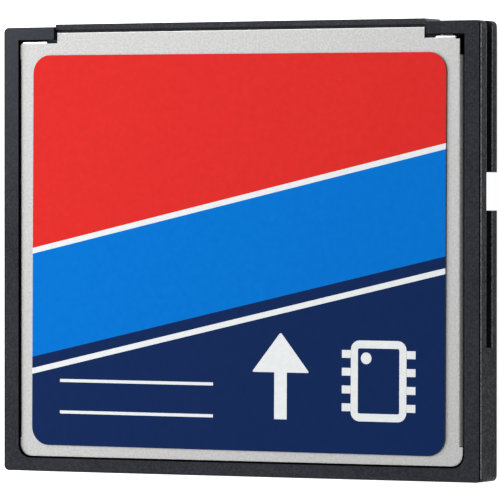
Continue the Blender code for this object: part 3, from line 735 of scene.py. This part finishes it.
class CARD_OT_finish_covers(Operator):
    """Rounds the blanked edges of both covers, and gives them blasted steel with smoother bends and a
    painted highlight on the die roll
    """

    bl_idname = "card.finish_covers"
    bl_label = "Finish the covers"

    def execute(self, context):
        looks = context.scene.card_cover
        steel = blasted_steel("blasted_steel", looks, looks.roughness)
        pressed = blasted_steel("pressed_bend_steel", looks, looks.bend_roughness)
        # Partly real burnish, partly a painted highlight on the die roll.
        burnish_and_highlight = plated_metal("burnished_edge_and_painted_highlight", tuple(looks.painted_highlight_color), 0.08 * MM, 0.36)
        for node_name, piece_name, out in (
            ("front_cover", "folded_front_cover", 1),
            ("rear_cover", "folded_rear_cover", -1),
        ):
            low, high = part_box(node_name)
            outside = high.z if out > 0 else low.z
            piece = copy_node(node_name, piece_name)
            self.press_bend(piece, looks, -out * high.x, outside, out)
            ears_end = self.roll_ears(piece, looks, high.x, outside, out)
            round_edges(piece, looks.edge_round)
            smooth(piece)
            dress(piece, steel, burnish_and_highlight, pressed)
            for face in piece.data.polygons:
                # The die roll's faces take the edge steel, a painted highlight over real burnish.
                leans = 0.05 < abs(face.normal.y) < 0.6
                near = abs(face.center.z - outside) < looks.roll_depth
                rolled = leans and near and face.center.y > ears_end - looks.roll_width
                bent = abs(face.normal.x) > BEND_SLOPE
                face.material_index = 1 if rolled else 2 if bent else 0
            hand_over(piece, "cover_steel", node_name)
        return {"FINISHED"}

    def press_bend(self, piece, looks, side_x, outside, out):
        """Draws the outer face of one bend towards its corner, where it was pressed tighter."""
        corner = Vector((side_x, 0, outside))
        side = math.copysign(1, side_x)
        pivot = corner - Vector((side * looks.bend, 0, out * looks.bend))
        select_where(
            piece,
            lambda p: (p.x - pivot.x) * side > -LEVEL
            and (p.z - pivot.z) * out > -LEVEL
            and abs(math.hypot(p.x - pivot.x, p.z - pivot.z) - looks.bend) < LEVEL,
            "VERT",
        )
        grow = looks.tight_bend / looks.bend
        bpy.ops.transform.resize(value=(grow, 1, grow), center_override=corner)
        leave_edit()

    def roll_ears(self, piece, looks, high_x, outside, out):
        """Rolls the sheet down along the ends of its two ears, and returns where they end."""
        ears_end = max(v.co.y for v in piece.data.vertices if abs(v.co.x) > 0.9 * high_x)
        select_where(piece, lambda p: abs(p.z - outside) < LEVEL)
        bpy.ops.mesh.inset(thickness=looks.roll_width, depth=0)
        leave_edit()
        select_where(piece, lambda p: abs(p.z - outside) < LEVEL and abs(p.y - ears_end) < LEVEL, "VERT")
        bpy.ops.transform.translate(value=(0, 0, -out * looks.roll_depth))
        leave_edit()
        return ears_end


def field_level(point, slant):
    """Height of a point measured square to the printed fields."""
    return point.y * math.cos(slant) - point.x * math.sin(slant)


class CARD_OT_print_label(Operator):
    """Models the label's rounded film and divides its face into printed fields"""

    bl_idname = "card.print_label"
    bl_label = "Print the label"

    def execute(self, context):
        looks = context.scene.card_label
        low, high = LABEL_BOX
        cut_edge = 0.25 * low.z + 0.75 * high.z
        label = add_cube("printed_label", low, high)
        select_where(label, lambda p: False, "EDGE")
        leave_edit()
        for edge in label.data.edges:
            a, b = (label.data.vertices[i].co for i in edge.vertices)
            edge.select = abs(a.z - b.z) > LEVEL
        bpy.ops.object.mode_set(mode="EDIT")
        bpy.ops.mesh.bevel(offset=looks.corner_radius, segments=12, affect="EDGES")
        leave_edit()
        select_where(label, lambda p: p.z > cut_edge, "EDGE")
        bpy.ops.mesh.bevel(offset=looks.edge_round, segments=2, affect="EDGES")
        leave_edit()
        select_where(label, lambda p: p.z > high.z - LEVEL)
        bpy.ops.mesh.inset(thickness=looks.margin, depth=0)
        leave_edit()
        for face in label.data.polygons:
            face.material_index = 0 if face.select else 1
        select_where(label, lambda p: True)
        center = (low + high) / 2
        top_line = Vector((center.x, high.y - looks.red_share * (high.y - low.y), 0))
        red_edge = field_level(top_line, looks.slant)
        blue_edge = red_edge - looks.stripe_width - looks.blue_width
        levels = [
            red_edge,
            red_edge - looks.stripe_width,
            blue_edge,
            blue_edge - looks.stripe_gap,
            blue_edge - looks.stripe_gap - looks.stripe_width,
        ]
        across = Vector((-math.sin(looks.slant), math.cos(looks.slant), 0))
        for level in levels:
            bpy.ops.mesh.select_all(action="SELECT")
            bpy.ops.mesh.bisect(plane_co=across * level, plane_no=across)
        leave_edit()
        inks = [
            printed_film("red_ink", tuple(looks.red)),
            printed_film("white_film", tuple(looks.white)),
            printed_film("blue_ink", tuple(looks.blue)),
            printed_film("navy_ink", tuple(looks.navy)),
        ]
        dress(label, *inks, printed_film("film_edge", tuple(looks.film_edge)))
        fields = [0, 1, 2, 3, 1, 3]
        for face in label.data.polygons:
            level = field_level(face.center, looks.slant)
            if face.center.z < cut_edge:
                face.material_index = len(inks)
            elif face.material_index == 0:
                face.material_index = fields[sum(level < edge for edge in levels)]
        label.rotation_euler.z = -looks.skew
        settle(label)
        smooth(label)
        hand_over(label, "label_film", "front_label")
        return {"FINISHED"}


class CARD_OT_print_signs(Operator):
    """Prints a chip sign, an insertion arrow and two writing lines on the label's lower field"""

    bl_idname = "card.print_signs"
    bl_label = "Print the signs"

    def execute(self, context):
        looks = context.scene.card_label
        white = printed_film("white_ink", tuple(looks.white))
        low, high = LABEL_BOX
        self.level = high.z - 0.25 * looks.ink_thickness
        foot = low.y + looks.sign_level
        chip_x = high.x - 0.9 * looks.sign_height
        signs = {
            "printed_chip_sign": self.chip_sign(looks, chip_x, foot),
            "printed_insertion_arrow": self.arrow_sign(looks, chip_x - 1.35 * looks.sign_height, foot),
            "printed_writing_lines": self.writing_lines(looks, low.x + 2.6 * MM, foot),
        }
        for name, sign in signs.items():
            sign.name = name
            thicken(sign, looks.ink_thickness)
            sign.rotation_euler.z = -looks.skew
            settle(sign)
            dress(sign, white)
            hand_over(sign, "label_film")
        return {"FINISHED"}

    def chip_sign(self, looks, x, foot):
        """A square package seen from above, with four pins on each side and a dot in one corner."""
        size, line = looks.sign_height, looks.sign_line
        center = Vector((x, foot + size / 2, self.level))
        body = add_outline("chip_body", 4, center, 0.76 * size, size)
        round_corners(body, 1.2 * line)
        select_where(body, lambda point: True)
        bpy.ops.mesh.inset(thickness=line, depth=0)
        bpy.ops.mesh.delete(type="FACE")
        leave_edit()
        reach = 0.12 * size
        pins = []
        for side in (-1, 1):
            first = center + Vector((side * (0.38 * size + 0.5 * reach), -0.33 * size, 0))
            pin = add_outline("chip_pin", 4, first, 1.04 * reach, line)
            repeat(pin, 4, (0, 0.22 * size, 0))
            pins.append(pin)
        dot_center = center + Vector((-0.17 * size, 0.28 * size, 0))
        dot = add_outline("chip_dot", 20, dot_center, 1.5 * line, 1.5 * line)
        return join([body, *pins, dot])

    def arrow_sign(self, looks, x, foot):
        """An arrow that points to the connector end: a triangle whose foot is drawn out into a stem."""
        size, line = looks.sign_height, looks.sign_line
        head_height = 0.5 * size
        neck = foot + size - head_height
        head_center = Vector((x, neck + head_height / 2, self.level))
        arrow = add_outline("arrow", 3, head_center, 0.8 * size, head_height)
        round_corners(arrow, 0.3 * line)
        select_where(arrow, lambda point: True)
        for side in (-1, 1):
            bpy.ops.mesh.select_all(action="SELECT")
            bpy.ops.mesh.bisect(plane_co=(x + side * 0.9 * line, 0, 0), plane_no=(1, 0, 0))
        leave_edit()
        level = min(vertex.co.y for vertex in arrow.data.vertices)
        select_where(arrow, lambda p: abs(p.y - level) < LEVEL and abs(p.x - x) < line, "EDGE")
        bpy.ops.mesh.extrude_region_move(TRANSFORM_OT_translate={"value": (0, foot - level, 0)})
        leave_edit()
        return arrow

    def writing_lines(self, looks, x, foot):
        """Two thin lines to write on."""
        length, line = 14.0 * MM, 0.4 * looks.sign_line
        center = Vector((x + length / 2, foot + line / 2, self.level))
        rule = add_outline("writing_line", 4, center, length, line)
        repeat(rule, 2, (0, 0.4 * looks.sign_height, 0))
        return rule


class CARD_OT_finish_connector(Operator):
    """Rounds the sockets of the moulded connector, and gives the contacts their gold"""

    bl_idname = "card.finish_connector"
    bl_label = "Finish the connector"

    def execute(self, context):
        looks = context.scene.card_connector
        piece = copy_node("connector_housing", "socket_connector")
        combine(piece, self.socket_tool(looks), "DIFFERENCE")
        round_edges(piece, looks.edge_round)
        smooth(piece)
        dress(piece, moulded_plastic("connector_resin", looks.color, 0.2 * MM, 0.46, 0.006 * MM, 0.06))
        hand_over(piece, "connector_resin", "connector_housing")
        gold = plated_metal("gold_plate", tuple(looks.contact_color), 0.05 * MM, 0.24)
        for name in CONTACTS:
            dress(frame["nodes"][name], gold)
        return {"FINISHED"}

    def socket_tool(self, looks):
        """What is cut out of the housing: a bore and its flared mouth, repeated along two rows."""
        low, high = HOUSING_BOX
        middle = (low + high) / 2
        first = Vector(
            (
                middle.x - (looks.columns - 1) / 2 * looks.pitch,
                high.y - looks.bore_depth,
                middle.z - looks.pitch / 2,
            )
        )
        deselect_all()
        bpy.ops.mesh.primitive_circle_add(
            vertices=looks.sides,
            radius=looks.bore / 2,
            fill_type="NGON",
            location=first,
            rotation=(math.pi / 2, 0, 0),
        )
        tool = bpy.context.object
        tool.name = "socket_tool"
        settle(tool)
        runs = (
            (looks.bore_depth - looks.lead_in_depth, 1.0),
            (looks.lead_in_depth, looks.lead_in / looks.bore),
            (looks.lead_in_depth, 1.0),
        )
        select_where(tool, lambda point: True)
        for run, grow in runs:
            bpy.ops.mesh.extrude_region_move(TRANSFORM_OT_translate={"value": (0, run, 0)})
            bpy.ops.transform.resize(value=(grow, 1, grow), center_override=first)
        bpy.ops.mesh.select_all(action="SELECT")
        bpy.ops.mesh.normals_make_consistent(inside=False)
        leave_edit()
        repeat(tool, looks.columns, (looks.pitch, 0, 0))
        repeat(tool, 2, (0, 0, looks.pitch))
        return tool


class CARD_OT_finish_board(Operator):
    """Gives the circuit board and what it carries their surfaces"""

    bl_idname = "card.finish_board"
    bl_label = "Finish the board"

    def execute(self, context):
        looks = context.scene.card_board
        nodes = frame["nodes"]
        dress(nodes["circuit_board"], solder_mask("solder_mask", looks))
        for name in ("flash_chip", "controller_chip"):
            low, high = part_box(name)
            middle_y = (low.y + high.y) / 2
            half_width = (high.y - low.y) / 2
            if name == "controller_chip":
                half_width -= looks.lead_reach
            package = moulded_package(
                f"{name}_package", looks, high.x - looks.lead_reach, middle_y, half_width
            )
            dress(nodes[name], package)
        dress(nodes["crystal"], plated_metal("crystal_can", tuple(looks.tin_color), 0.1 * MM, 0.3))
        color = tuple(looks.capacitor_color)
        moulding = moulded_plastic("capacitor_moulding", color, 0.15 * MM, 0.5, 0.005 * MM, 0.4)
        dress(nodes["tantalum_capacitor"], moulding)
        return {"FINISHED"}


class CARD_OT_build_studio(Operator):
    """Adds the pale floor, the soft lights and the camera"""

    bl_idname = "card.build_studio"
    bl_label = "Build the studio"

    def execute(self, context):
        looks = context.scene.card_studio
        self.add_floor(looks)
        self.add_softbox("high_softbox", looks, 25, 180, LONG_BOX, looks.high_light)
        self.add_softbox("low_softbox", looks, 65, 180, LONG_BOX, looks.low_light)
        self.add_softbox("corner_softbox", looks, 40, 125, SQUARE_BOX, looks.corner_light)
        self.add_softbox("end_softbox", looks, 65, 90, END_BOX, looks.end_light)
        self.light_room(context.scene, looks)
        self.add_camera(context.scene, looks)
        context.scene.view_settings.view_transform = "Standard"
        return {"FINISHED"}

    def add_floor(self, looks):
        """Adds a sheet of pale paper that lets some light through from below."""
        deselect_all()
        bpy.ops.mesh.primitive_plane_add(size=4, location=(0, 0, -looks.floor_drop))
        floor = bpy.context.object
        floor.name = "studio_floor"
        surface = Surface("floor_paper", looks.floor_color, 0.85)
        fibre = surface.noise(1.5 * MM, detail=3.0)
        dark, light = shaded(looks.floor_color, 0.985), shaded(looks.floor_color, 1.01)
        surface.color(surface.mix(surface.spread(fibre, 0.0, 1.0), dark, light))
        surface.shader.inputs["Emission Color"].default_value = (1.0, 1.0, 1.0, 1.0)
        surface.shader.inputs["Emission Strength"].default_value = looks.floor_glow
        dress(floor, surface.material)

    def add_softbox(self, name, looks, polar_deg, azimuth_deg, size, power):
        """Adds an area light that faces the card, at an angle from the vertical and round it."""
        polar, azimuth = math.radians(polar_deg), math.radians(azimuth_deg)
        toward = Vector(
            (
                math.sin(polar) * math.cos(azimuth),
                math.sin(polar) * math.sin(azimuth),
                math.cos(polar),
            )
        )
        deselect_all()
        bpy.ops.object.light_add(type="AREA", location=looks.light_distance * toward)
        light = bpy.context.object
        light.name = name
        light.data.shape = "RECTANGLE"
        light.data.size, light.data.size_y = size
        light.data.energy = power
        light.visible_camera = False
        light.rotation_euler = (-toward).to_track_quat("-Z", "Y").to_euler()

    def light_room(self, scene, looks):
        """Fills the room with even white light."""
        world = scene.world or bpy.data.worlds.new("studio_room")
        scene.world = world
        world.use_nodes = True
        background = world.node_tree.nodes["Background"]
        background.inputs["Color"].default_value = (1.0, 1.0, 1.0, 1.0)
        background.inputs["Strength"].default_value = looks.room_light

    def add_camera(self, scene, looks):
        """Adds the camera where the card was photographed from."""
        deselect_all()
        bpy.ops.object.camera_add(location=CAMERA_PLACE)
        camera = bpy.context.object
        camera.name = "photo_camera"
        camera.data.lens = looks.focal_length
        camera.data.sensor_width = SENSOR_WIDTH
        camera.data.clip_start = 0.01
        camera.data.dof.use_dof = False
        ahead = Vector(CAMERA_AHEAD).normalized()
        right = ahead.cross(Vector(CAMERA_ABOVE)).normalized()
        turn = Matrix((right, right.cross(ahead), -ahead)).transposed()
        camera.rotation_euler = turn.to_euler()
        scene.camera = camera


class CARD_PT_looks(Panel):
    """Lists the steps that finish the card"""

    bl_label = "Flash card looks"
    bl_idname = "CARD_PT_looks"
    bl_space_type = "VIEW_3D"
    bl_region_type = "UI"
    bl_category = "Card"

    def draw(self, context):
        for step in STEPS:
            self.layout.operator(step.bl_idname)
        for attribute, group in LOOKS.items():
            box = self.layout.box()
            box.label(text=group.__doc__)
            for name in group.__annotations__:
                box.prop(getattr(context.scene, attribute), name)


STEPS = (
    CARD_OT_finish_frame,
    CARD_OT_finish_covers,
    CARD_OT_print_label,
    CARD_OT_print_signs,
    CARD_OT_finish_connector,
    CARD_OT_finish_board,
    CARD_OT_build_studio,
)


def register():
    for group in LOOKS.values():
        bpy.utils.register_class(group)
    for attribute, group in LOOKS.items():
        setattr(bpy.types.Scene, attribute, PointerProperty(type=group))
    for step in (*STEPS, CARD_PT_looks):
        bpy.utils.register_class(step)


def unregister():
    for step in (CARD_PT_looks, *reversed(STEPS)):
        bpy.utils.unregister_class(step)
    for attribute, group in LOOKS.items():
        delattr(bpy.types.Scene, attribute)
        bpy.utils.unregister_class(group)


def main():
    register()
    bpy.ops.card.finish_frame()
    bpy.ops.card.finish_covers()
    bpy.ops.card.print_label()
    bpy.ops.card.print_signs()
    bpy.ops.card.finish_connector()
    bpy.ops.card.finish_board()
    bpy.ops.card.build_studio()


if __name__ == "__main__":
    main()
